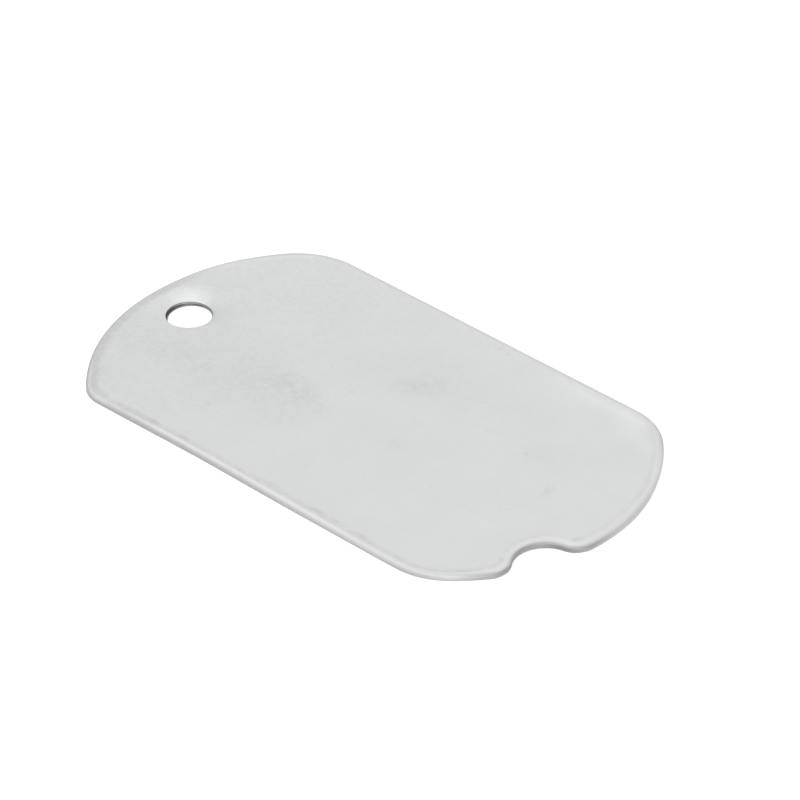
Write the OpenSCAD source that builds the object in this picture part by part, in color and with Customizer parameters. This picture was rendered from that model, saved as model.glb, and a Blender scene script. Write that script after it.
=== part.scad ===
// Identification tag of pressed stainless sheet, lying back up on its rolled rim.
// X runs along the tag towards the notch, Y across it and Z up. The origin is under the
// middle of the tag, on the surface that its rim rests on.

/* [Outline] */
// Length over the rim, from the tip of one bowed end to the tip of the other
tag_length = 50.8; // [46:0.2:60]
// Width over the rim
tag_width = 28.6; // [26:0.2:32]
// Radius of the bowed end beside the notch
notch_end_r = 17.5; // [16:0.5:24]
// Radius of the bowed end beside the hole
hole_end_r = 18.5; // [16:0.5:30]
// Radius of the two corners at the notch end
notch_corner_r = 6; // [4:0.5:9]
// Radius of the far corner at the hole end
hole_corner_r = 7; // [4:0.5:9]
// Radius of the near corner at the hole end, which is bent tighter
tight_corner_r = 3.2; // [2:0.2:8]

/* [Sheet and rim] */
// Thickness of the sheet
sheet_t = 0.3; // [0.25:0.01:0.36]
// Space inside the roll, between its two layers of sheet
roll_gap = 0.12; // [0.1:0.01:0.2]
// Width of the roll as seen from the front
roll_width = 1; // [0.9:0.05:1.2]
// Space between the sheet's free edge and the underside of the face
edge_gap = 0.12; // [0.05:0.01:0.2]
// Depth of the back face below the crown of the rim
face_drop = 0.05; // [0.02:0.01:0.08]
// Width over which the sheet rises from the back face to the crown
rise_width = 0.8; // [0.5:0.05:0.9]

/* [Notch] */
// Radius of the bottom of the notch
notch_r = 2.6; // [2:0.1:3]
// Depth of the notch, measured from the bowed end
notch_depth = 2.5; // [1.5:0.1:3]
// Radius of the two lips of the notch
lip_r = 1.9; // [1.7:0.1:2.2]
// Distance of the notch from the centre line, towards the near side
notch_offset = 6.3; // [0:0.1:7]

/* [Chain hole] */
// Diameter of the hole
hole_d = 3.9; // [3:0.1:4.6]
// Distance from the tip of the bowed end to the middle of the hole
hole_inset = 4.8; // [4.6:0.1:8]
// Distance of the hole from the centre line, towards the near side
hole_offset = 0.5; // [0:0.1:3]
// Width of the ring round the hole that the punch draws down
dimple_width = 1; // [0.6:0.1:1.1]
// Depth by which the edge of the hole is drawn down
dimple_depth = 0.15; // [0.05:0.01:0.2]

/* [Hidden] */
// Sides that stand for a full circle
$fn = 96;
// The rim is made in stretches. A slim stretch ends inside a full one, and the face inside both.
// This is how much slimmer each of them is, on every side
step = 0.002;
// Length by which a slim stretch reaches into a full one
reach = 0.05;
// Width of flat sheet that the face and the rim share
lap = 0.2;
// Length that takes a cutting shape past what it cuts
beyond = 5;
// Angle between points of the face's hidden edge
facet = 5;

// Heights and widths of the rim's section
rim_t = sheet_t + 4*step;
roll_r = rim_t + roll_gap/2;
rim_height = 2*roll_r;
shelf_top = rim_height - face_drop;
shelf_bottom = shelf_top - rim_t;
face_bottom = shelf_bottom + 2*step;
rise_foot = roll_r + rise_width;
section_width = rise_foot + lap;

// Places of the bowed ends and the hole
half_width = tag_width/2;
notch_end_x = tag_length/2 - notch_end_r;
hole_end_x = hole_end_r - tag_length/2;
hole_x = hole_inset - tag_length/2;
hole_r = hole_d/2;
dimple_r = hole_r + dimple_width;

// Distance along the tag from the middle of an end's arc to the middle of its corner
function corner_reach(end_r, corner_r) = sqrt(pow(end_r - corner_r, 2) - pow(half_width - corner_r, 2));
// Direction of that corner from the middle of the end's arc
function corner_turn(end_r, corner_r) = asin((half_width - corner_r)/(end_r - corner_r));
// Angle between the sides p and q of a triangle whose third side is r
function angle_between(p, q, r) = acos((p*p + q*q - r*r)/(2*p*q));
// Point at a distance and direction
function polar(distance, turn) = [distance*cos(turn), distance*sin(turn)];

// The corners
notch_corner_x = notch_end_x + corner_reach(notch_end_r, notch_corner_r);
notch_corner_y = half_width - notch_corner_r;
far_corner_x = hole_end_x - corner_reach(hole_end_r, hole_corner_r);
far_corner_y = half_width - hole_corner_r;
near_corner_x = hole_end_x - corner_reach(hole_end_r, tight_corner_r);
near_corner_y = half_width - tight_corner_r;
notch_corner_turn = corner_turn(notch_end_r, notch_corner_r);
far_corner_turn = corner_turn(hole_end_r, hole_corner_r);
near_corner_turn = corner_turn(hole_end_r, tight_corner_r);

// The notch. The middles of a lip, the notch and the bowed end are the corners of a triangle
notch_turn = -asin(notch_offset/notch_end_r);
notch_distance = notch_end_r - notch_depth + notch_r;
lip_distance = notch_end_r - lip_r;
lip_to_notch = lip_r + notch_r;
lip_turn = angle_between(lip_distance, notch_distance, lip_to_notch);
near_lip_turn = notch_turn - lip_turn;
far_lip_turn = notch_turn + lip_turn;
lip_sweep = 180 - angle_between(lip_distance, lip_to_notch, notch_distance);
notch_sweep = 2*angle_between(notch_distance, lip_to_notch, lip_distance);
notch_end = [notch_end_x, 0];
notch_middle = notch_end + polar(notch_distance, notch_turn);
near_lip = notch_end + polar(lip_distance, near_lip_turn);
far_lip = notch_end + polar(lip_distance, far_lip_turn);

// The outline's arcs, each with its middle, radius, first direction, sweep and slimness. They
// run round the tag from the near side's notch end, and straight sides join them. Only the
// notch sweeps backwards, because the sheet lies outside its arc.
MIDDLE = 0;
RADIUS = 1;
START = 2;
SWEEP = 3;
SLIM = 4;
arcs = [
    [[notch_corner_x, -notch_corner_y], notch_corner_r, -90, 90 - notch_corner_turn, 0],
    [notch_end, notch_end_r, -notch_corner_turn, near_lip_turn + notch_corner_turn, step],
    [near_lip, lip_r, near_lip_turn, lip_sweep, 0],
    [notch_middle, notch_r, notch_turn + 180 + notch_sweep/2, -notch_sweep, step],
    [far_lip, lip_r, far_lip_turn - lip_sweep, lip_sweep, 0],
    [notch_end, notch_end_r, far_lip_turn, notch_corner_turn - far_lip_turn, step],
    [[notch_corner_x, notch_corner_y], notch_corner_r, notch_corner_turn, 90 - notch_corner_turn, 0],
    [[far_corner_x, far_corner_y], hole_corner_r, 90, 90 - far_corner_turn, 0],
    [[hole_end_x, 0], hole_end_r, 180 - far_corner_turn, far_corner_turn + near_corner_turn, step],
    [[near_corner_x, -near_corner_y], tight_corner_r, 180 + near_corner_turn, 90 - near_corner_turn, 0]
];

// 1 where the sheet lies inside an arc, and -1 where it lies outside
function bow(arc) = sign(arc[SWEEP]);

// Points along an arc, moved into the sheet by an inset
function inset_points(arc, inset) =
    let (count = ceil(abs(arc[SWEEP])/facet))
        [for (i = [0:count])
            arc[MIDDLE] + polar(arc[RADIUS] - bow(arc)*inset, arc[START] + arc[SWEEP]*i/count)];

// Section of the rim. X is the distance out from the outline, so the sheet has negative X.
// A slim section lies inside a full one by its slimness on every side.
module rim_section(slim) {
    translate([-roll_r, roll_r])
        roll_wall(slim, 0, rim_height);
    translate([roll_r - roll_width, roll_r])
        roll_wall(slim, -beyond, shelf_bottom - edge_gap - slim);
    translate([roll_r - roll_width, slim])
        square([roll_width - 2*roll_r, rim_t - 2*slim]);
    polygon([
        [-roll_r, rim_height - rim_t + slim],
        [-roll_r, rim_height - slim],
        [-rise_foot, shelf_top - slim],
        [slim - section_width, shelf_top - slim],
        [slim - section_width, shelf_bottom + slim],
        [-rise_foot, shelf_bottom + slim]
    ]);
}

// Round wall of the roll on one side of its middle, up to a height above the rim's foot
module roll_wall(slim, from_x, height) {
    intersection() {
        difference() {
            circle(roll_r - slim);
            circle(roll_r - rim_t + slim);
        }
        translate([from_x, -roll_r])
            square([beyond, height]);
    }
}

// The rim along the straight side at positive Y
module straight_rim(from_x, to_x) {
    translate([from_x - reach, half_width, 0])
        rotate([90, 0, 90])
            linear_extrude(to_x - from_x + 2*reach)
                rim_section(step);
}

// The rim round one arc of the outline
module arc_rim(arc) {
    reach_turn = arc[SLIM] > 0 ? atan(reach/arc[RADIUS]) : 0;
    translate(arc[MIDDLE])
        rotate(min(arc[START], arc[START] + arc[SWEEP]) - reach_turn)
            rotate_extrude(angle = abs(arc[SWEEP]) + 2*reach_turn)
                translate([arc[RADIUS], 0])
                    mirror([bow(arc) < 0 ? 1 : 0, 0])
                        rim_section(arc[SLIM]);
}

module rolled_rim() {
    for (arc = arcs)
        arc_rim(arc);
    straight_rim(far_corner_x, notch_corner_x);
    mirror([0, 1, 0])
        straight_rim(near_corner_x, notch_corner_x);
}

// The flat sheet inside the rim, whose edge ends in the middle of the lap
module face() {
    translate([0, 0, face_bottom])
        difference() {
            linear_extrude(sheet_t)
                polygon([for (arc = arcs) each inset_points(arc, rise_foot + lap/2)]);
            translate([hole_x, -hole_offset, -beyond])
                cylinder(r = dimple_r, h = 2*beyond);
        }
}

// Ring of sheet that bends down to the edge of the chain hole
module hole_dimple() {
    bend_r = hole_r + dimple_width/2;
    bend_drop = dimple_depth/4;
    translate([hole_x, -hole_offset, face_bottom])
        rotate_extrude()
            polygon([
                [dimple_r, 0],
                [dimple_r, sheet_t],
                [bend_r, sheet_t - bend_drop],
                [hole_r, sheet_t - dimple_depth],
                [hole_r, -dimple_depth],
                [bend_r, -bend_drop]
            ]);
}

module tag() {
    color("silver") {
        rolled_rim();
        face();
        hole_dimple();
    }
}

tag();
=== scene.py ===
"""An identification tag of pressed stainless steel, lying back up on a pale floor."""

import math

import bmesh
import bpy
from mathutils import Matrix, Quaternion, Vector, noise


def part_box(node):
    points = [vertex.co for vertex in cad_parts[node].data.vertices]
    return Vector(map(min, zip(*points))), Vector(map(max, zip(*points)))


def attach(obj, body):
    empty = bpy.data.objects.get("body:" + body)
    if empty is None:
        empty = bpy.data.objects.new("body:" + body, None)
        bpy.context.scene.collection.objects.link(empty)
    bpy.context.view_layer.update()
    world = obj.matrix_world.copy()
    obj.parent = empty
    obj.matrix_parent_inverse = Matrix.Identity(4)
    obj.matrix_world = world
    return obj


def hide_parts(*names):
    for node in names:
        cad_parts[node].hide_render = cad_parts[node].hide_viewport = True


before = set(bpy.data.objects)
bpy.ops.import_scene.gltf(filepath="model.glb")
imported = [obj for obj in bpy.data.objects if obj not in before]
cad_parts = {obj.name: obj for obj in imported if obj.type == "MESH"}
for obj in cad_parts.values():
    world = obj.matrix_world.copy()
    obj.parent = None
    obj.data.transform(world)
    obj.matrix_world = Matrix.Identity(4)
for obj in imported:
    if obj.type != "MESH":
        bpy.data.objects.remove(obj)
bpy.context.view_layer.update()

# All sizes are in metres
MM = 0.001
low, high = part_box("tag")
HALF_LENGTH = (high.x - low.x)/2
HALF_WIDTH = (high.y - low.y)/2
RIM_HEIGHT = high.z - low.z

# Outline
NOTCH_END_R = 17.5*MM
HOLE_END_R = 18.5*MM
NOTCH_CORNER_R = 6*MM
FAR_CORNER_R = 7*MM
NEAR_CORNER_R = 3.2*MM
NOTCH_R = 2.6*MM
NOTCH_DEPTH = 2.5*MM
LIP_R = 1.9*MM
NOTCH_OFFSET = 6.3*MM

# Sheet and rim
SHEET = 0.3*MM
FACE_DROP = 0.05*MM
FACE_TOP = RIM_HEIGHT - FACE_DROP
FACE_BOTTOM = RIM_HEIGHT - FACE_DROP - SHEET
ROLL_R = RIM_HEIGHT/2
ROLL_WIDTH = 1*MM
# The crown falls off over a short bend and runs out into the face over a long one
CROWN_BEND = 0.2*MM
RUN_OUT = 0.5*MM
LAP = 0.1*MM
CURL = math.radians(90)
EDGE_R = 0.03*MM

# Chain hole
HOLE_INSET = 4.8*MM
HOLE_OFFSET = 0.5*MM
HOLE = Vector((HOLE_INSET - HALF_LENGTH, -HOLE_OFFSET, 0))
HOLE_R = 1.95*MM
DRAW_ANGLE = math.radians(10)
DRAW_R = 2.4*MM
HOLE_EDGE_R = 0.08*MM

# Fineness of the mesh
SECTION_STEP = math.radians(8)
DRAWN_STEP = math.radians(3)
EDGE_STEP = math.radians(15)
WALL_STEPS = 4
HOLE_STEPS = 128
TURN_STEP = math.radians(4)
ALONG_STEP = 0.5*MM
WEB_STEP = 1*MM
MERGE = 0.001*MM
CUT_MERGE = 0.01*MM
# Two bends nearer than this have no straight side between them
SHORTEST_SIDE = 0.05*MM
# Play that lets a place on the joint of two bends belong to both
SLACK = 0.0001

# Unevenness that the press and handling leave. A pair of sizes gives the two ends of the blend
# over which an effect grows or fades. It is a distance in from the outline, off the hole's edge
# where the name ends in OFF, or from the middle of the notch for BAY. Where the name ends in X
# or Y it is a place along the tag or across it. Each kind of wave has a seed of its own
WEB_SEED, WEAR_SEED, CREASE_SEED, WANDER_SEED, CURL_SEED = range(1, 6)
# Heights over which the sheet above the roll's hollow begins
ABOVE = (0.2*MM, FACE_BOTTOM)
# The web's waves and sag
WEB_WAVE = 0.02*MM
WEB_HILLS = 9*MM
WAVE_EDGE = (1*MM, 3*MM)
WEB_SINK = 0.02*MM
SINK_EDGE = (0.7*MM, 3.2*MM)
SAG = 0.17*MM
SAG_EDGE = (0.2*MM, 1.8*MM)
SAG_LEFT_X = (5*MM, 13*MM)
SAG_RIGHT_X = (17*MM, 21*MM)
SAG_Y = (2*MM, 11*MM)
# The punch's slope, ridge and pull round the hole. Distances from the hole's edge have OFF
PUNCH_LEAN = Vector((-0.68, 0.73, 0))
PUNCH_DROP = 0.2*MM
PUNCH_STEEPNESS = 1.5
PUNCH_REACH_OFF = 2.4*MM
PUNCH_EDGE = (0.8*MM, 2*MM)
RIDGE = 0.05*MM
RIDGE_OFF = 2*MM
RIDGE_WIDTH = 0.9*MM
RIDGE_EDGE = (0.4*MM, 1.2*MM)
PUNCH_PULL = 0.22*MM
PULL_OFF = (0, 1.2*MM)
WALL_OFF = (0.01*MM, 0.05*MM)
# The band half way down the hole's wall that the punch burnished: its share and spread
BURNISHED = 0.9
BURNISHED_SPREAD = 0.02
# The rim's wear
RIM_EDGE = (0, 1.4*MM)
CROWN_WEAR = 0.01*MM
WEAR_HILLS = 5*MM
HOLE_END_X = (-15*MM, -20*MM)
HOLE_END_Y = (1*MM, 8*MM)
HOLE_END_DROP = 0.1*MM
HOLE_END_EDGE = (0, 1.1*MM)
HOLE_END_SLOPE = 0.07*MM
HOLE_SLOPE_EDGE = (0, 3*MM)
NEAR_END_X = (2*MM, 18*MM)
NEAR_END_Y = (-13*MM, -5*MM)
NEAR_END_DROP = 0.12*MM
# The notch end is rounder, and the bay of the notch squarer
NOTCH_END_X = (19*MM, 22*MM)
NOTCH_END_NEAR_Y = (-12*MM, -9.5*MM)
NOTCH_END_FAR_Y = (2*MM, 7*MM)
NOTCH_ROUND = 0.14*MM
ROUND_WIDTH = 0.9*MM
BAY = (NOTCH_R + 0.8*MM, NOTCH_R + 2*MM)
BAY_ROUND = 0.06*MM
BAY_SQUARE = 0.25
# The tight corner is beaten flat and creased: its middle and reach, and the depths
BEATEN = (-18*MM, -13.6*MM, 4.5*MM)
BEATEN_DROP = 0.1*MM
BEATEN_EDGE = (0, 1.6*MM)
CREASE = 0.04*MM
CREASE_HILLS = 0.9*MM
# The outline wanders and has dents: middle, reach and depth
OUTLINE_WANDER = 0.02*MM
WANDER_HILLS = 6*MM
DENTS = (
    (-6*MM, -HALF_WIDTH, 6*MM, 0.11*MM),
    (23*MM, 8.8*MM, 3.5*MM, 0.1*MM),
    (19*MM, -12.7*MM, 3*MM, 0.12*MM),
)
BAY_DENT = 0.1*MM
# The crown lies further in round the notch end and along the far side
CROWN_RISE = (0, 0.35*MM)
CROWN_FALL = (0.5*MM, 1.8*MM)
NOTCH_SHOULDER = 0.25*MM
FAR_SHOULDER = 0.2*MM
FAR_SIDE_Y = (4*MM, 12*MM)
# The roll's free edge wanders, and the roll is wider along the ends and slimmer at the notch
CURL_EDGE = (0.4*MM, 0.8*MM)
CURL_WANDER = 0.1*MM
CURL_HILLS = 3*MM
CURL_WIDER = 0.12*MM
CURL_ENDS_X = (18*MM, 22*MM)
SLIM = (HALF_LENGTH - NOTCH_DEPTH, -NOTCH_OFFSET, 4*MM)


class Pen:
    """Draws a chain of edges on an upright plane, as lines and tangent bends.

    The plane's first direction leads out of the sheet and its second one up. A bend to the left
    is positive, and a bend to the right negative.
    """

    def __init__(self, bm, origin, out, start, step=SECTION_STEP):
        self.bm = bm
        self.origin = origin
        self.out = out
        self.step = step
        self.heading = 0
        self.vert = bm.verts.new(self.place(*start))
        self.verts = [self.vert]
        self.edges = []

    def place(self, out, up):
        return self.origin + self.out*out + Vector((0, 0, up))

    def keep(self, geom):
        self.verts += [g for g in geom if isinstance(g, bmesh.types.BMVert) and g not in self.verts]
        self.edges += [g for g in geom if isinstance(g, bmesh.types.BMEdge) and g not in self.edges]

    def line(self, length):
        """A straight line along the heading."""
        made = bmesh.ops.extrude_vert_indiv(self.bm, verts=[self.vert])
        self.vert = made["verts"][0]
        along = self.out*math.cos(self.heading) + Vector((0, 0, math.sin(self.heading)))
        bmesh.ops.translate(self.bm, verts=[self.vert], vec=along*length)
        self.keep(made["verts"] + made["edges"])
        return self

    def bend(self, radius, angle):
        """An arc that starts along the heading and turns it by the angle."""
        side = math.copysign(radius, angle)
        left = Vector((0, 0, math.cos(self.heading))) - self.out*math.sin(self.heading)
        before = set(self.bm.verts), set(self.bm.edges)
        made = bmesh.ops.spin(
            self.bm, geom=[self.vert], cent=self.vert.co + left*side,
            axis=self.out.cross(Vector((0, 0, 1))), angle=angle,
            steps=max(1, math.ceil(abs(angle)/self.step)))
        self.vert = made["geom_last"][0]
        self.keep([v for v in self.bm.verts if v not in before[0]])
        self.keep([e for e in self.bm.edges if e not in before[1]])
        self.heading += angle
        return self


def rise_bends():
    """The angle and the radii of the two bends between the face and the crown of the rim."""
    angle = 2*math.atan(FACE_DROP/(CROWN_BEND + RUN_OUT))
    return angle, RUN_OUT/math.sin(angle), CROWN_BEND/math.sin(angle)


def rim_section(bm, origin, out):
    """The rolled rim's section, from the back face round the roll to the front face."""
    angle, run_out_r, crown_r = rise_bends()
    inner_r = ROLL_R - SHEET
    foot = ROLL_WIDTH - 2*ROLL_R
    start = (-ROLL_R - CROWN_BEND - RUN_OUT - LAP, FACE_TOP)
    pen = Pen(bm, origin, out, start)
    pen.line(LAP)
    pen.bend(run_out_r, angle)
    pen.bend(crown_r, -angle)
    pen.bend(ROLL_R, -math.pi)
    pen.line(foot)
    pen.bend(ROLL_R, -CURL)
    pen.bend(EDGE_R, -math.pi/2)
    pen.line(SHEET - 2*EDGE_R)
    pen.bend(EDGE_R, -math.pi/2)
    pen.bend(inner_r, CURL)
    pen.line(foot)
    pen.bend(inner_r, math.pi)
    pen.bend(crown_r - SHEET, angle)
    pen.bend(run_out_r + SHEET, -angle)
    pen.line(LAP)
    return pen


# Place of the notch's own arc among the outline's bends
NOTCH_BEND = 3


def outline_bends():
    """The outline's arcs, each with its middle, radius, first direction and sweep."""
    notch_x = HALF_LENGTH - NOTCH_END_R
    hole_x = HOLE_END_R - HALF_LENGTH

    def corner(end_r, corner_r):
        """How far a corner's middle lies from that of the bowed end, and the turn up to it."""
        across = HALF_WIDTH - corner_r
        return math.sqrt((end_r - corner_r)**2 - across**2), math.asin(across/(end_r - corner_r))

    def between(p, q, r):
        """The angle between the sides p and q of a triangle whose third side is r."""
        return math.acos((p*p + q*q - r*r)/(2*p*q))

    def at(x, y):
        return Vector((x, y, 0))

    def polar(distance, turn):
        return at(notch_x + distance*math.cos(turn), distance*math.sin(turn))

    reach, turn = corner(NOTCH_END_R, NOTCH_CORNER_R)
    far_reach, far_turn = corner(HOLE_END_R, FAR_CORNER_R)
    near_reach, near_turn = corner(HOLE_END_R, NEAR_CORNER_R)
    notch_turn = -math.asin(NOTCH_OFFSET/NOTCH_END_R)
    notch_distance = NOTCH_END_R - NOTCH_DEPTH + NOTCH_R
    lip_distance = NOTCH_END_R - LIP_R
    lip_to_notch = LIP_R + NOTCH_R
    lip_turn = between(lip_distance, notch_distance, lip_to_notch)
    lip_sweep = math.pi - between(lip_distance, lip_to_notch, notch_distance)
    sweep = 2*between(notch_distance, lip_to_notch, lip_distance)
    near_lip = notch_turn - lip_turn
    far_lip = notch_turn + lip_turn
    quarter = math.pi/2
    notch_corner = at(notch_x + reach, HALF_WIDTH - NOTCH_CORNER_R)
    far_corner = at(hole_x - far_reach, HALF_WIDTH - FAR_CORNER_R)
    near_corner = at(hole_x - near_reach, NEAR_CORNER_R - HALF_WIDTH)
    return [
        (at(notch_corner.x, -notch_corner.y), NOTCH_CORNER_R, -quarter, quarter - turn),
        (at(notch_x, 0), NOTCH_END_R, -turn, near_lip + turn),
        (polar(lip_distance, near_lip), LIP_R, near_lip, lip_sweep),
        (polar(notch_distance, notch_turn), NOTCH_R, notch_turn + math.pi + sweep/2, -sweep),
        (polar(lip_distance, far_lip), LIP_R, far_lip - lip_sweep, lip_sweep),
        (at(notch_x, 0), NOTCH_END_R, far_lip, turn - far_lip),
        (notch_corner, NOTCH_CORNER_R, turn, quarter - turn),
        (far_corner, FAR_CORNER_R, quarter, quarter - far_turn),
        (at(hole_x, 0), HOLE_END_R, math.pi - far_turn, far_turn + near_turn),
        (near_corner, NEAR_CORNER_R, math.pi + near_turn, quarter - near_turn),
    ]


def on_arc(bend, turn):
    middle, radius = bend[:2]
    return middle + Vector((math.cos(turn), math.sin(turn), 0))*radius


def sweep_rim(bm):
    """Carries the rim's section round the whole outline, one stretch at a time."""
    bends = outline_bends()
    here = on_arc(bends[-1], bends[-1][2] + bends[-1][3])
    for bend in bends:
        middle, radius, first, sweep = bend
        out = Vector((math.cos(first), math.sin(first), 0))*math.copysign(1, sweep)
        start = on_arc(bend, first)
        way = start - here
        if way.length > SHORTEST_SIDE:
            steps = math.ceil(way.length/ALONG_STEP)
            add_stretch(bm, here, out, steps, dvec=way/steps, angle=0)
        steps = math.ceil(max(abs(sweep)/TURN_STEP, abs(sweep)*radius/ALONG_STEP))
        add_stretch(bm, start, out, steps, cent=middle, angle=sweep)
        here = on_arc(bend, first + sweep)
    bmesh.ops.remove_doubles(bm, verts=bm.verts, dist=MERGE)


def add_stretch(bm, start, out, steps, **turn):
    """Spins a new section from the start, in a mesh of its own, and adds that to the rim."""
    stretch = bmesh.new()
    pen = rim_section(stretch, start, out)
    bmesh.ops.spin(stretch, geom=pen.verts + pen.edges, axis=(0, 0, 1), steps=steps, **turn)
    carrier = bpy.data.meshes.new("stretch")
    stretch.to_mesh(carrier)
    stretch.free()
    bm.from_mesh(carrier)
    bpy.data.meshes.remove(carrier)


def sweep_hole(bm):
    """The ring of sheet that the punch draws down round the chain hole."""
    slope = math.sin(DRAW_ANGLE)
    edge = HOLE_EDGE_R
    drawn_width = DRAW_R*slope + edge*(1 - slope)
    lower_edge = (edge*(1 - slope) + SHEET*slope)/(1 + slope)
    wall_top = FACE_TOP - DRAW_R*(1 - math.cos(DRAW_ANGLE)) - edge*math.cos(DRAW_ANGLE)
    wall_foot = FACE_TOP - DRAW_R + (DRAW_R - SHEET + lower_edge)*math.cos(DRAW_ANGLE)
    out = Vector((1, 0, 0))
    pen = Pen(bm, HOLE - out*HOLE_R, out, (-drawn_width - LAP, FACE_TOP), DRAWN_STEP)
    pen.line(LAP)
    pen.bend(DRAW_R, -DRAW_ANGLE)
    pen.step = EDGE_STEP
    pen.bend(edge, DRAW_ANGLE - math.pi/2)
    for _ in range(WALL_STEPS):
        pen.line((wall_top - wall_foot)/WALL_STEPS)
    pen.bend(lower_edge, -DRAW_ANGLE - math.pi/2)
    pen.step = DRAWN_STEP
    pen.bend(DRAW_R - SHEET, DRAW_ANGLE)
    pen.line(LAP)
    bmesh.ops.spin(bm, geom=pen.verts + pen.edges, cent=HOLE, axis=(0, 0, 1),
                   angle=2*math.pi, steps=HOLE_STEPS, use_merge=True)


def fill_web(bm):
    """The flat sheet between the rim and the hole, on both faces, cut into a fine grid."""
    half_way = FACE_TOP - SHEET/2
    web = []
    for back in (True, False):
        ends = [e for e in bm.edges if e.is_boundary and (e.verts[0].co.z > half_way) == back]
        made = bmesh.ops.triangle_fill(bm, use_beauty=True, use_dissolve=False, edges=ends)["geom"]
        web += [g for g in made if isinstance(g, bmesh.types.BMFace)]
    web += list({e for f in web for e in f.edges}) + list({v for f in web for v in f.verts})
    for axis, half in ((Vector((1, 0, 0)), HALF_LENGTH), (Vector((0, 1, 0)), HALF_WIDTH)):
        cuts = int(half/WEB_STEP)
        for i in range(-cuts, cuts + 1):
            web = bmesh.ops.bisect_plane(bm, geom=web, dist=CUT_MERGE, plane_co=axis*i*WEB_STEP,
                                         plane_no=axis)["geom"]


def smooth(start, end, value):
    """0 up to the start, 1 past the end, and an even blend between them."""
    part = min(max((value - start)/(end - start), 0), 1)
    return part*part*(3 - 2*part)


def wave(place, length, seed):
    """An even, wandering height between 0 and 1, with hills about a length apart."""
    return (1 + noise.noise(Vector((place.x/length, place.y/length, seed))))/2


def patch(place, x, y, reach):
    """1 at a point of the sheet, falling off evenly all round it."""
    return math.exp(-((place.x - x)**2 + (place.y - y)**2)/reach**2)


def inset_at(place, bends):
    """How far a place on the sheet lies in from the outline, and the way out from there."""
    out = Vector((0, math.copysign(1, place.y), 0))
    depth = HALF_WIDTH - abs(place.y)
    for middle, radius, first, sweep in bends:
        bow = math.copysign(1, sweep)
        ray = Vector((place.x - middle.x, place.y - middle.y, 0))
        turn = (math.atan2(ray.y, ray.x) - first)*bow
        inset = (radius - ray.length)*bow
        if (turn + SLACK) % (2*math.pi) <= abs(sweep) + 2*SLACK and inset < depth:
            depth = inset
            out = ray.normalized()*bow
    return depth, out


def off_hole(place):
    """How far a place lies from the hole's edge, and how much on the side the punch leaned to."""
    ray = Vector((place.x, place.y, 0)) - HOLE
    return max(ray.length - HOLE_R, 0), ray.normalized().dot(PUNCH_LEAN)


def notch_end(place):
    """1 round the notch, and 0 away from the notch end."""
    share = smooth(*NOTCH_END_X, place.x)*(1 - smooth(*NOTCH_END_FAR_Y, place.y))
    return share*smooth(*NOTCH_END_NEAR_Y, place.y)


def web_drop(place, depth):
    """The web waves and sinks away from the rim, most behind the notch end's far corner."""
    drop = WEB_WAVE*wave(place, WEB_HILLS, WEB_SEED)*smooth(*WAVE_EDGE, depth)
    drop += WEB_SINK*smooth(*SINK_EDGE, depth)
    sagging = smooth(*SAG_LEFT_X, place.x)*(1 - smooth(*SAG_RIGHT_X, place.x))
    return drop + SAG*sagging*smooth(*SAG_Y, place.y)*smooth(*SAG_EDGE, depth)


def punch_drop(place, depth):
    """The punch drew the sheet down, most on the far side of the hole, and raised a ridge there."""
    off, lean = off_hole(place)
    away = min(off/PUNCH_REACH_OFF, 1)
    ridge = math.exp(-((off - RIDGE_OFF)/RIDGE_WIDTH)**2)*smooth(*RIDGE_EDGE, depth)
    drop = PUNCH_DROP*(1 + lean)/2*(1 - away)**PUNCH_STEEPNESS*smooth(*PUNCH_EDGE, depth)
    return drop - RIDGE*max(lean, 0)*ridge


def torn_share(place):
    """1 on the hole's torn wall and 0 on the rest, with little on the wall's burnished band."""
    down = (FACE_TOP - place.z)/SHEET
    burnished = math.exp(-(down - 0.5)**2/BURNISHED_SPREAD)
    return (1 - smooth(*WALL_OFF, off_hole(place)[0]))*(1 - BURNISHED*burnished)


def rim_drop(place, depth, bay):
    """The crown is worn, slopes off at the hole end and round the notch, and is low before it."""
    level = place.z/RIM_HEIGHT
    drop = CROWN_WEAR*wave(place, WEAR_HILLS, WEAR_SEED)*(1 - smooth(*RIM_EDGE, depth))*level
    hole_end = smooth(*HOLE_END_X, place.x)*(1 - smooth(*HOLE_END_Y, place.y))*level
    drop += HOLE_END_DROP*hole_end*(1 - smooth(*HOLE_END_EDGE, depth))
    drop += HOLE_END_SLOPE*hole_end*(1 - smooth(*HOLE_SLOPE_EDGE, depth))
    near_end = smooth(*NEAR_END_X, place.x)*(1 - smooth(*NEAR_END_Y, place.y))*level
    drop += NEAR_END_DROP*near_end
    slope = max(1 - depth/ROUND_WIDTH, 0)**2*level
    return drop + (NOTCH_ROUND*notch_end(place) + BAY_ROUND*bay)*slope


def beaten_drop(place, depth):
    """The tight corner is beaten flat and creased."""
    level = place.z/RIM_HEIGHT
    beaten = patch(place, *BEATEN)
    creased = wave(place, CREASE_HILLS, CREASE_SEED)*(1 - smooth(*RIM_EDGE, depth))
    drop = beaten*max(place.z - FACE_TOP, 0)
    drop += BEATEN_DROP*beaten*(1 - smooth(*BEATEN_EDGE, depth))*level
    return drop + CREASE*beaten*creased*level


def squared(place, depth, bay):
    """How far the roll's shoulder is pushed out and up in the bay of the notch."""
    if depth >= ROLL_R or place.z <= ROLL_R:
        return 0, 0
    inward = ROLL_R - depth
    upward = place.z - ROLL_R
    grown = BAY_SQUARE*bay*math.sin(2*math.atan2(inward, upward))**2
    return inward*grown, upward*grown


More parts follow.
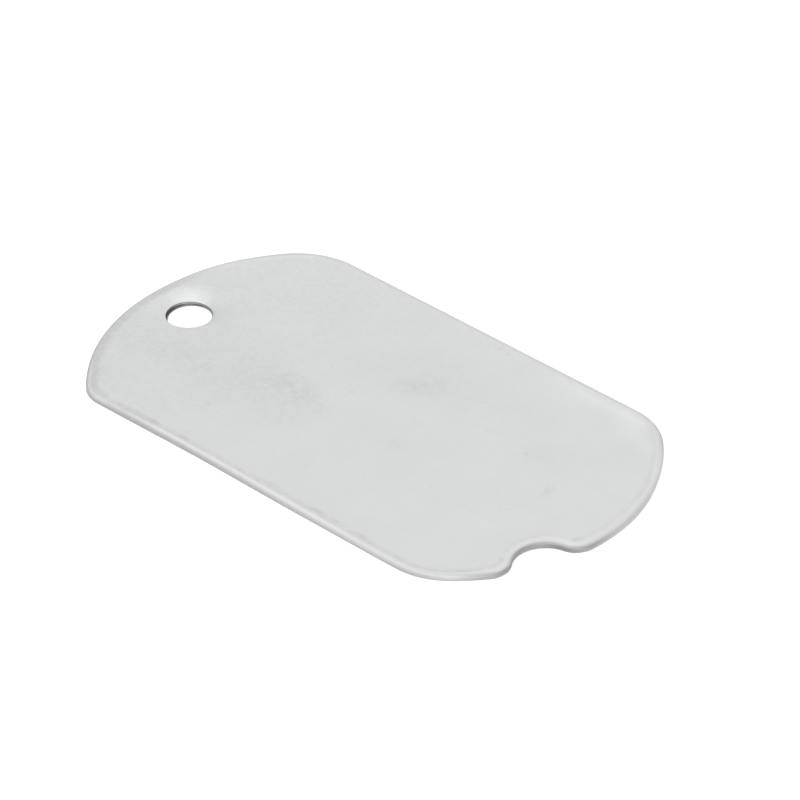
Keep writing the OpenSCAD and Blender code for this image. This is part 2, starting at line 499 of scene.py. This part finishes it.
def inward_shift(place, depth, bay, above):
    """The outline's wander and dents, and the places where the crown lies further in."""
    inward = OUTLINE_WANDER*wave(place, WANDER_HILLS, WANDER_SEED)
    for x, y, reach, dent in DENTS:
        inward += dent*patch(place, x, y, reach)
    inward += BAY_DENT*bay
    crown = smooth(*CROWN_RISE, depth)*(1 - smooth(*CROWN_FALL, depth))*above
    shoulder = NOTCH_SHOULDER*notch_end(place) + FAR_SHOULDER*smooth(*FAR_SIDE_Y, place.y)
    return inward*(1 - smooth(*RIM_EDGE, depth)) + shoulder*crown


def curl_shift(place, depth):
    """The free edge of the roll wanders, further in along the ends and further out at the notch."""
    if place.z >= RIM_HEIGHT/2 + EDGE_R:
        return 0
    ends = smooth(*CURL_ENDS_X, abs(place.x))*(1 - 2*patch(place, *SLIM))
    shift = CURL_WANDER*wave(place, CURL_HILLS, CURL_SEED) + CURL_WIDER*ends
    return smooth(*CURL_EDGE, depth)*shift


def work_sheet(bm):
    """Gives the even sheet and rim the unevenness that the press and handling leave.

    The layer inset holds each vertex's distance in from the outline, in millimetres, and the
    layer sheared the torn wall of the hole.
    """
    bends = outline_bends()
    notch = bends[NOTCH_BEND][0]
    insets = bm.verts.layers.float.new("inset")
    sheared = bm.verts.layers.float.new("sheared")
    for v in bm.verts:
        place = v.co.copy()
        depth, out = inset_at(place, bends)
        v[insets] = depth/MM
        v[sheared] = torn_share(place)
        above = smooth(*ABOVE, place.z)
        bay = 1 - smooth(*BAY, math.hypot(place.x - notch.x, place.y - notch.y))
        off, lean = off_hole(place)
        v.co += PUNCH_LEAN*PUNCH_PULL*max(lean, 0)*(1 - smooth(*PULL_OFF, off))
        outward, upward = squared(place, depth, bay)
        v.co += out*(outward - inward_shift(place, depth, bay, above) - curl_shift(place, depth))
        v.co.z += upward - web_drop(place, depth)*above - punch_drop(place, depth)
        v.co.z -= rim_drop(place, depth, bay) + beaten_drop(place, depth)


def tag_mesh():
    bm = bmesh.new()
    sweep_rim(bm)
    sweep_hole(bm)
    fill_web(bm)
    bmesh.ops.recalc_face_normals(bm, faces=bm.faces)
    work_sheet(bm)
    for f in bm.faces:
        f.smooth = True
    open_edges = [e for e in bm.edges if not e.is_manifold]
    print("tag mesh:", len(bm.verts), "vertices,", len(bm.faces), "faces,", len(open_edges), "open edges")
    mesh = bpy.data.meshes.new("tag_sheet")
    bm.to_mesh(mesh)
    bm.free()
    return mesh


# Colours of the steel, on the flat web and on the roll
WEB_COLOUR = (0.742, 0.757, 0.753)
ROLL_COLOUR = (0.757, 0.757, 0.75)
# Finger marks, each with its middle, reach along and across, turn and depth. Places and sizes of
# marks are in millimetres. The third and fourth are wide and only darken the face broadly towards the
# hole end
SMUDGES = (
    (-5.8, -2.4, 5.2, 2.2, -12, 0.9),
    (-7.8, -3, 4.2, 3.4, 0, 0.5),
    (-10.6, -4.6, 8, 6, 0, 0.5),
    (-14.5, -4.5, 12, 9, 0, 0.4),
    (-4.4, -5.2, 4.4, 3.4, 0, 0.5),
    (-17.4, -4.9, 2.6, 2.4, 0, 0.6),
    (-14.6, -5.6, 2.4, 2.2, 0, 0.45),
    (-19.8, -6.4, 3.4, 3, 0, 0.3),
    (-0.8, 6.6, 8.5, 5.6, 20, 0.5),
    (0.6, 4.6, 3.8, 1.9, 42, 0.9),
    (7.2, 7.6, 8, 4.6, 20, 0.4),
    (4.8, -2.6, 1.7, 1.4, 0, 0.5),
    (14, 4.2, 4.4, 3.4, 0, 0.4),
    (18, 0.8, 1.6, 0.7, 100, 0.7),
)
# Stains along the foot of the rim, in the same form
STAINS = (
    (-11.7, -13.45, 1.1, 0.4, 0, 0.8),
    (-8.6, -13.45, 2, 0.45, 0, 0.6),
    (1.4, -13.25, 2, 0.4, 0, 0.6),
    (6.5, -13.4, 1.1, 0.42, 0, 1.3),
    (8.4, -13.35, 0.8, 0.3, 0, 0.8),
    (11.2, -13.4, 1, 0.35, 0, 0.7),
    (-19, -13.1, 0.8, 0.5, -20, 0.6),
    (-17.4, -13.4, 1.6, 0.5, -10, 0.6),
    (24, -2.3, 0.9, 0.45, 80, 1),
    (-18.6, 1.4, 2.4, 1.8, 45, 0.4),
)
# Specks and pits: middle and radius
SPECKS = (
    (-10.1, -8.8, 0.28), (-2.8, 0.4, 0.24), (-6.6, 1.9, 0.2), (-7.2, -0.8, 0.2), (-7.8, -5.8, 0.2),
    (1.2, 13.4, 0.18), (1.9, 13.2, 0.2), (2.9, 13.1, 0.24), (3.6, 12.9, 0.18), (0.2, 12.6, 0.15),
    (-2.2, 12.4, 0.15), (10.8, -4.9, 0.22), (13.4, 3.5, 0.3),
)
# Scratches: start, length, direction, sag and reach to each side
SCRATCHES = (
    (3.5, 4.1, 2.8, 15, 0.05, 0.16),
    (5.3, 2.4, 3.4, 22, 0.1, 0.15),
    (8.5, 3.6, 1.7, 18, 0.08, 0.14),
    (2.9, 1.4, 1.9, -35, 0.03, 0.2),
    (2.4, 5.4, 7, 14, 0.12, 0.14),
    (8.4, 3.6, 2.2, 22, 0, 0.15),
    (5.2, 6.2, 4.4, 25, 0.15, 0.14),
    (-12.2, 4.6, 3.4, 70, 0.2, 0.1),
    (17.4, 1.7, 2, -64, 0.04, 0.22),
    (-3.6, -2.3, 1.8, -62, 0.1, 0.18),
)
# A bundle of fine scratches: middle, reach along and across, and turn
BUNDLE = (7.2, 5.2, 8, 4.4, 20)
# Shares of a scratch's length between which it is full. It fades out to both ends from there
SCRATCH_ENDS = (0.2, 0.7)
# Brighter and darker areas: middle, reach along and across, turn, even core and share of the
# brightness. The second and third are a painted highlight beside the far edge of the hole
AREAS_AND_HOLE_HIGHLIGHT = (
    (-13.6, -13.8, 4, 0.8, 0, 0.3, -0.045),
    (-22.2, 1.2, 2.6, 2.2, -45, 0.2, 0.1),
    (-21.9, 0.9, 1, 0.8, -45, 0.5, 0.06),
    (21.4, 9.6, 3, 2.4, -45, 0.3, 0.01),
)
# Darker spots on the side of the roll, in the same form: painted shade in the hollow bay of the notch,
# and a darker stretch at the far corner
ROLL_DARKENING = (
    (24.3, -6.3, 8, 8, 0, 0.35, -0.4),
    (19, 13.2, 3.5, 3.5, 0, 0.4, -0.12),
)
# A painted highlight on the sheet inside the far corner, in the same form
CORNER_LIGHT = (18.6, 12.2, 4.5, 3, -20, 0.3, 0.05)

# Noises: the hills' length in millimetres, detail, roughness, cut, stretch and turn
SKIN = {"length": 0.5, "detail": 5, "roughness": 0.7, "cut": (0.3, 0.65)}
CLOUDS = {"length": 5, "detail": 4, "roughness": 0.6, "cut": (0.35, 0.65)}
FINE_BUNDLE = {"length": 0.35, "detail": 2, "roughness": 0.5, "cut": (0.6, 0.72),
               "stretch": 14, "turn": BUNDLE[-1]}
FINE_LINES = {"length": 0.2, "detail": 2, "roughness": 0.5, "cut": (0.66, 0.76),
              "stretch": 30, "turn": -14}
STREAKS = {"length": 0.8, "detail": 6, "roughness": 0.8, "cut": (0.35, 0.7)}
STAIN_GRAIN = {"length": 0.45, "detail": 4, "roughness": 0.7, "cut": (0.25, 0.6)}
MOTTLE = {"length": 0.45, "detail": 4, "roughness": 0.9}
PATCHES = {"length": 0.9, "detail": 4, "roughness": 0.6}
MILL_LINES = {"length": 0.09, "detail": 3, "roughness": 0.6, "stretch": 6}
ROLL_GRAIN = {"length": 0.25, "detail": 3, "roughness": 0.6}

# Heights in millimetres between which the front gives way to the back, which has the marks
BACK_Z = (0.4, 0.55)
# Bands along the rim. The first pair gives where a band begins and is full, and the second one
# where it fades and is gone, in millimetres in from the outline. A pair alone is one of the two
FOOT_BAND = ((0.3, 0.55), (0.65, 1.2))
CROWN_HIGHLIGHT_BAND = ((0, 0.07), (0.16, 0.38))
HOLE_END_DARK_BAND = ((0.1, 0.35), (0.6, 1.3))
ROLL_FADE = (0.1, 0.55)
SIDE_FADE = (0.03, 0.22)
FAR_FADE = (0.1, 0.45)
CORNER_FADE = (0.45, 0.85)

# Stretches of the tag over which the steel's looks change, in millimetres along it where they
# end in X and across it where they end in Y
DIRT_Y = (-12, 4)
NEAR_SIDE_Y = (-12.6, -11.4)
SHEEN_X = (-12, 16)
SHEEN_END_X = (13, 18)
CROWN_LIGHT_START_X = (-17, -11)
CROWN_LIGHT_X = (4, 14)
HOLE_END_DARK_X = (-22.5, -20)
HOLE_END_DARK_Y = (2, 7)
FAR_ROLL_Y = (9, 12)
MOTTLE_X = (-22, 2)

# Share of a smudge that the grain of the skin breaks up, of the dirt that the far side has, and
# of the painted sheen that is left past its end
SKIN_SHARE = 0.7
FAR_DIRT = 0.35
SHEEN_LEFT = 0.4
# Strength of the mottling at the hole end and past the middle
MOTTLE_STRENGTH = (0.3, 0.09)
# What the fine marks and the dirt are made up of
MARKS_OF = {"scratches": 0.4, "bundle": 0.5, "lines": 0.3}
DIRT_OF = {"streaks": 0.9, "stains": 1, "even_darkening": 0.1}
# What each mark adds to the steel's brightness, roughness and relief
SHADE_OF = {"smudges": -0.07, "clouds": -0.018, "marks": -0.06, "specks": -0.1, "dirt": -0.1}
ROUGH_OF = {"roll": 0.08, "smudges": 0.12, "marks": 0.1, "dirt": 0.15}
RELIEF_OF = {"mill": 0.6, "marks": -0.5, "specks": -0.3, "roll_grain": 1}
# What the stretches of the rim add to the brightness: a painted sheen on the near side of the roll, a
# painted highlight on its crown, and darkening at the hole end and along the far side
PAINTED_SHEEN = 0.22
CROWN_HIGHLIGHT = 0.09
HOLE_END_DARKER = -0.05
FAR_SHADE = -0.09
# The hole's torn wall is darker for its rough sheared steel and, further, as painted shade
TORN_AND_SHADED_WALL = -0.85
ROUGHNESS = 0.24
ROUGHNESS_SPREAD = 0.12
RELIEF_DEPTH = 0.004*MM
RELIEF_STRENGTH = 0.25
# Length of a spot through the sheet, long enough to reach both faces
SPOT_DEPTH = 50


class Graph:
    """Builds nodes in one node tree."""

    def __init__(self, tree):
        self.nodes = tree.nodes
        self.links = tree.links

    def set(self, socket, value):
        if isinstance(value, bpy.types.NodeSocket):
            self.links.new(value, socket)
        else:
            socket.default_value = value

    def do(self, operation, first, second=0.0, third=0.0):
        node = self.nodes.new("ShaderNodeMath")
        node.operation = operation
        for socket, value in zip(node.inputs, (first, second, third)):
            self.set(socket, value)
        return node.outputs["Value"]

    def product(self, first, *others):
        for value in others:
            first = self.do("MULTIPLY", first, value)
        return first

    def total(self, values):
        added = values[0]
        for value in values[1:]:
            added = self.do("ADD", added, value)
        return added

    def ranged(self, value, start, end, to_start=0.0, to_end=1.0):
        node = self.nodes.new("ShaderNodeMapRange")
        node.interpolation_type = "SMOOTHSTEP"
        for name, item in (("Value", value), ("From Min", start), ("From Max", end),
                           ("To Min", to_start), ("To Max", to_end)):
            self.set(node.inputs[name], item)
        return node.outputs["Result"]

    def vector(self, operation, first, second, name):
        """A vector operation and its output of a name."""
        node = self.nodes.new("ShaderNodeVectorMath")
        node.operation = operation
        self.set(node.inputs[0], first)
        self.set(node.inputs["Scale" if operation == "SCALE" else 1], second)
        return node.outputs[name]


class Finish(Graph):
    """Builds one material's nodes. Places are in millimetres on the tag."""

    def __init__(self, name):
        self.material = bpy.data.materials.new(name)
        self.material.use_nodes = True
        super().__init__(self.material.node_tree)
        self.shader = self.nodes["Principled BSDF"]
        coordinate = self.nodes.new("ShaderNodeTexCoord")
        self.place = self.mapped(coordinate.outputs["Object"], size=(MM, MM, MM))
        self.x, self.y, self.z = self.parts(self.place)
        self.inset = self.attribute("inset")

    def parts(self, vector):
        node = self.nodes.new("ShaderNodeSeparateXYZ")
        self.set(node.inputs[0], vector)
        return [node.outputs[axis] for axis in "XYZ"]

    def attribute(self, name):
        node = self.nodes.new("ShaderNodeAttribute")
        node.attribute_name = name
        return node.outputs["Fac"]

    def mapped(self, source, centre=(0, 0, 0), turn=0, size=(1, 1, 1)):
        """Coordinates centred, turned about Z and measured in the size."""
        mapping = self.nodes.new("ShaderNodeMapping")
        mapping.vector_type = "TEXTURE"
        self.set(mapping.inputs["Vector"], source)
        mapping.inputs["Location"].default_value = centre
        mapping.inputs["Rotation"].default_value = (0, 0, math.radians(turn))
        mapping.inputs["Scale"].default_value = size
        return mapping.outputs["Vector"]

    def grain(self, length, detail, roughness, cut=None, stretch=1, turn=0):
        """Noise with hills about a length apart, between about 0.3 and 0.7, or 0 and 1 if cut."""
        node = self.nodes.new("ShaderNodeTexNoise")
        self.set(node.inputs["Vector"], self.mapped(self.place, size=(stretch, 1, 1), turn=turn))
        node.inputs["Scale"].default_value = 1/length
        node.inputs["Detail"].default_value = detail
        node.inputs["Roughness"].default_value = roughness
        return self.ranged(node.outputs["Fac"], *cut) if cut else node.outputs["Fac"]

    def band(self, rise, fall):
        """1 over a band that follows the outline."""
        return self.product(self.ranged(self.inset, *rise), self.ranged(self.inset, *fall, 1, 0))

    def spot(self, x, y, long, wide, turn=0, core=0.0):
        """1 in the core of an oval mark and 0 past its rim."""
        centred = self.mapped(self.place, (x, y, 0), turn, (long, wide, SPOT_DEPTH))
        return self.ranged(self.vector("LENGTH", centred, (0, 0, 0), "Value"), core, 1, 1, 0)

    def spots(self, table):
        """The sum of the spots in a table, whose last column is each one's depth."""
        return self.total([self.product(self.spot(*row[:-1]), row[-1]) for row in table])

    def scratch(self, x, y, long, turn, sag, width):
        """A thin line that starts at a point, runs along a direction and sags to one side."""
        along, across = self.parts(self.mapped(self.place, (x, y, 0), turn, (long, 1, 1)))[:2]
        hump = self.product(along, self.do("SUBTRACT", 1, along), 4*sag)
        off = self.do("ABSOLUTE", self.do("SUBTRACT", across, hump))
        start, end = SCRATCH_ENDS
        ends = self.product(self.ranged(along, 0, start), self.ranged(along, end, 1, 1, 0))
        return self.product(self.ranged(off, 0, width, 1, 0), ends)

    def weighed(self, layers, weights):
        """The sum of the layers that have a weight, each times its weight."""
        return self.total([self.product(layers[name], weight) for name, weight in weights.items()])


def handling_marks(finish):
    """Smudges from fingers, broken up by the grain of the skin, clouds, specks and scratches."""
    back = finish.ranged(finish.z, *BACK_Z)
    skin = finish.do("MULTIPLY_ADD", finish.grain(**SKIN), SKIN_SHARE, 1 - SKIN_SHARE)
    specks = finish.total([finish.spot(x, y, size, size) for x, y, size in SPECKS])
    fine_marks = {
        "scratches": finish.total([finish.scratch(*row) for row in SCRATCHES]),
        "bundle": finish.product(finish.grain(**FINE_BUNDLE), finish.spot(*BUNDLE)),
        "lines": finish.grain(**FINE_LINES),
    }
    return {
        "smudges": finish.product(finish.spots(SMUDGES), skin, back),
        "clouds": finish.grain(**CLOUDS),
        "specks": finish.product(specks, back),
        "marks": finish.product(finish.weighed(fine_marks, MARKS_OF), back),
        "dirt": finish.product(rim_dirt(finish), back),
    }


def rim_dirt(finish):
    """Dirt in the foot of the rim, in streaks and stains over an even darkening of the foot, less on the
    far side.
    """
    foot = finish.product(finish.band(*FOOT_BAND), finish.ranged(finish.y, *DIRT_Y, 1, FAR_DIRT))
    kinds = {
        "streaks": finish.product(foot, finish.grain(**STREAKS)),
        "stains": finish.product(finish.spots(STAINS), finish.grain(**STAIN_GRAIN)),
        "even_darkening": foot,
    }
    return finish.weighed(kinds, DIRT_OF)


def rim_shade(finish):
    """The rim's brighter and darker stretches, as shares of the steel's brightness.

    The near side of the roll gets a painted sheen that grows towards the notch end, and its crown a
    painted highlight up to there. Painted shade darkens the roll in the bay of the notch, and the
    roll is darker at the far corner, at the hole end and along the far side. The hole's torn wall is
    darker for its sheared steel and for painted shade, and painted highlights lie beside the hole.
    """
    ranged = finish.ranged
    product = finish.product
    near_side = ranged(finish.y, *NEAR_SIDE_Y, 1, 0)
    # Painted sheen on the near side of the roll, growing towards the notch end
    side_sheen = product(ranged(finish.x, *SHEEN_X, 0, PAINTED_SHEEN), near_side,
                     ranged(finish.x, *SHEEN_END_X, 1, SHEEN_LEFT))
    # The roll's side takes the painted sheen, painted shade in the notch's bay and darkening at the far
    # corner
    side = product(ranged(finish.inset, *SIDE_FADE, 1, 0), finish.total([side_sheen, finish.spots(ROLL_DARKENING)]))
    # Painted highlight along the crown of the roll's near side
    crown = product(finish.band(*CROWN_HIGHLIGHT_BAND), near_side, ranged(finish.x, *CROWN_LIGHT_X, CROWN_HIGHLIGHT, 0),
                    ranged(finish.x, *CROWN_LIGHT_START_X))
    # The roll is darker at the hole end and along the far side
    hole_end = product(ranged(finish.x, *HOLE_END_DARK_X, 1, 0), ranged(finish.y, *HOLE_END_DARK_Y, 1, 0))
    darker_end = product(finish.band(*HOLE_END_DARK_BAND), hole_end, HOLE_END_DARKER)
    far = product(ranged(finish.inset, *FAR_FADE, 1, 0), ranged(finish.y, *FAR_ROLL_Y), FAR_SHADE)
    # Painted highlight inside the far corner
    corner = product(ranged(finish.inset, *CORNER_FADE), finish.spots([CORNER_LIGHT]))
    # The torn wall of the hole: sheared steel, darkened further as painted shade
    torn_and_shaded = product(finish.attribute("sheared"), TORN_AND_SHADED_WALL)
    # The areas' table holds the painted highlights beside the hole's far edge
    return finish.total([side, crown, darker_end, far, corner, finish.spots(AREAS_AND_HOLE_HIGHLIGHT), torn_and_shaded])


def steel():
    """Satin stainless steel with fine grain, handling marks and a duller, greyer rim."""
    finish = Finish("satin_stainless_steel")
    shader = finish.shader
    layers = handling_marks(finish)
    layers["roll"] = finish.ranged(finish.inset, *ROLL_FADE, 1, 0)
    layers["mill"] = finish.grain(**MILL_LINES)
    layers["roll_grain"] = finish.product(finish.grain(**ROLL_GRAIN), layers["roll"])

    # Colour: cool on the web, neutral on the roll, and mottled, most at the hole end
    tone = finish.nodes.new("ShaderNodeMix")
    tone.data_type = "RGBA"
    finish.set(tone.inputs["Factor"], layers["roll"])
    web, roll = [socket for socket in tone.inputs if socket.type == "RGBA"]
    web.default_value = (*WEB_COLOUR, 1)
    roll.default_value = (*ROLL_COLOUR, 1)
    mixed = [socket for socket in tone.outputs if socket.type == "RGBA"][0]
    mottled = finish.ranged(finish.x, *MOTTLE_X, *MOTTLE_STRENGTH)
    mottle = finish.do("MULTIPLY_ADD", finish.do("SUBTRACT", finish.grain(**MOTTLE), 0.5), mottled, 1)
    # The brightness takes in the handling marks, the rim's painted sheen, highlights and shade, and the
    # mottling
    shade = finish.total([finish.weighed(layers, SHADE_OF), rim_shade(finish), mottle])
    finish.set(shader.inputs["Base Color"], finish.vector("SCALE", mixed, shade, "Vector"))

    # Roughness and relief
    shader.inputs["Metallic"].default_value = 1
    rough = finish.do("MULTIPLY_ADD", finish.grain(**PATCHES), ROUGHNESS_SPREAD, ROUGHNESS)
    finish.set(shader.inputs["Roughness"], finish.total([finish.weighed(layers, ROUGH_OF), rough]))
    bump = finish.nodes.new("ShaderNodeBump")
    bump.inputs["Strength"].default_value = RELIEF_STRENGTH
    bump.inputs["Distance"].default_value = RELIEF_DEPTH
    finish.set(bump.inputs["Height"], finish.weighed(layers, RELIEF_OF))
    finish.set(shader.inputs["Normal"], bump.outputs["Normal"])
    return finish.material


def plain(name, colour, roughness):
    material = bpy.data.materials.new(name)
    material.use_nodes = True
    shader = material.node_tree.nodes["Principled BSDF"]
    shader.inputs["Base Color"].default_value = (*colour, 1)
    shader.inputs["Roughness"].default_value = roughness
    return material


# Camera, at the photograph's angle
AZIMUTH = math.radians(43.0)
ELEVATION = math.radians(34.76)
ROLL = math.radians(-0.13)
LENS = 231.6
SENSOR = 36
NEAREST = 10*MM
DISTANCE = 417.5*MM
AIM = Vector((0.91*MM, 2.13*MM, RIM_HEIGHT))
back = Vector((math.sin(AZIMUTH)*math.cos(ELEVATION), -math.cos(AZIMUTH)*math.cos(ELEVATION),
               math.sin(ELEVATION)))
camera = bpy.data.objects.new("camera", bpy.data.cameras.new("camera"))
camera.data.lens = LENS
camera.data.sensor_width = SENSOR
camera.data.clip_start = NEAREST
camera.location = AIM + back*DISTANCE
camera.rotation_mode = "QUATERNION"
camera.rotation_quaternion = (-back).to_track_quat("-Z", "Y") @ Quaternion((0, 0, 1), ROLL)
bpy.context.scene.collection.objects.link(camera)
bpy.context.scene.camera = camera

# The tag
tag = bpy.data.objects.new("tag_sheet", tag_mesh())
bpy.context.scene.collection.objects.link(tag)
tag.data.materials.append(steel())
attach(tag, "root")
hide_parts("tag")

# Floor, a hair below the foot of the roll
FLOOR_GAP = 0.005*MM
FLOOR_REACH = 3
FLOOR_COLOUR = (0.45, 0.45, 0.45)
FLOOR_ROUGHNESS = 0.9
floor_mesh = bmesh.new()
bmesh.ops.create_grid(floor_mesh, x_segments=1, y_segments=1, size=FLOOR_REACH)
floor = bpy.data.objects.new("floor", bpy.data.meshes.new("floor"))
floor_mesh.to_mesh(floor.data)
floor_mesh.free()
floor.data.materials.append(plain("white_table", FLOOR_COLOUR, FLOOR_ROUGHNESS))
floor.visible_glossy = False
floor.location.z = -FLOOR_GAP
bpy.context.scene.collection.objects.link(floor)

# Light: a soft lamp over the camera, which whitens the table and isn't seen in the steel
LAMP_HEIGHT = math.radians(50)
LAMP_ENERGY = 7.5
LAMP_WIDTH = math.radians(30)
lamp = bpy.data.objects.new("table_lamp", bpy.data.lights.new("table_lamp", "SUN"))
lamp.data.energy = LAMP_ENERGY
lamp.data.angle = LAMP_WIDTH
lamp.rotation_mode = "QUATERNION"
tilt = Quaternion((1, 0, 0), math.pi/2 - LAMP_HEIGHT)
lamp.rotation_quaternion = Quaternion((0, 0, 1), AZIMUTH) @ tilt
lamp.visible_glossy = False
bpy.context.scene.collection.objects.link(lamp)

# The white studio round it. Its walls rise from the level of the table to their own, soft boxes
# brighten them high up, and the ceiling is darker. Each change is given by the sines of the
# heights between which it happens
TABLE_LEVEL = 0.75
WALL_LEVEL = 0.97
WALL_FOOT = (-0.15, 0.25)
BOX_LIGHT = 0.12
BOX_HEIGHT = (0.6, 0.8)
CEILING_DARKNESS = 0.25
CEILING_HEIGHT = (0.85, 1)
# Shares by which it is brighter low down on the camera's side, and darker low down on the left
# and high up on the right
FRONT_LIGHT = 0.2
LEFT_DARKNESS = 0.3
RIGHT_DARKNESS = 0.15
# Sines of the directions between which each of them fades
FRONT_LOW = (0.15, 0.55)
FRONT_SIDE = (-0.6, 0.1)
LOW_TO_HIGH = (0.5, 0.75)
LEFT_SIDE = (-0.6, 0.25)
RIGHT_SIDE = (0, 0.5)
# Share that a dark doorway to the right swallows, the way to it from the tag, and the cosine of
# the angle that it reaches to
DOOR_DARKNESS = 0.35
DOOR_TURN = math.radians(80)
DOOR_HEIGHT = math.radians(20)
DOOR_REACH = 0.6


def level_way(turn):
    """The level direction at a turn from that of the camera, to the right."""
    return Vector((math.sin(AZIMUTH + turn), -math.cos(AZIMUTH + turn), 0))


def sky(tree):
    """The light that comes from each direction."""
    graph = Graph(tree)
    ranged = graph.ranged
    direction = graph.nodes.new("ShaderNodeTexCoord").outputs["Generated"]

    def along(way):
        return graph.vector("DOT_PRODUCT", direction, way, "Value")

    def scaled(light, share, first, second):
        """The light made brighter by a share where both blends are 1."""
        return graph.product(light, graph.do("MULTIPLY_ADD", graph.product(first, second), share, 1))

    height = along((0, 0, 1))
    facing = along(level_way(0))
    right = along(level_way(math.pi/2))
    door = along(level_way(DOOR_TURN)*math.cos(DOOR_HEIGHT) + Vector((0, 0, math.sin(DOOR_HEIGHT))))
    walls = ranged(height, *WALL_FOOT, TABLE_LEVEL, WALL_LEVEL)
    boxes = ranged(height, *BOX_HEIGHT, 0, BOX_LIGHT)
    ceiling = ranged(height, *CEILING_HEIGHT, 0, -CEILING_DARKNESS)
    light = graph.total([walls, boxes, ceiling])
    low_down = ranged(height, *LOW_TO_HIGH, 1, 0)
    high_up = ranged(height, *LOW_TO_HIGH)
    light = scaled(light, FRONT_LIGHT, ranged(height, *FRONT_LOW, 1, 0), ranged(facing, *FRONT_SIDE))
    light = scaled(light, -LEFT_DARKNESS, low_down, ranged(right, *LEFT_SIDE, 1, 0))
    light = scaled(light, -RIGHT_DARKNESS, high_up, ranged(right, *RIGHT_SIDE))
    return graph.product(light, ranged(door, DOOR_REACH, 1, 1, 1 - DOOR_DARKNESS))


world = bpy.data.worlds.new("white_room")
bpy.context.scene.world = world
world.use_nodes = True
background = world.node_tree.nodes["Background"]
world.node_tree.links.new(sky(world.node_tree), background.inputs["Color"])

bpy.context.scene.view_settings.view_transform = "Standard"
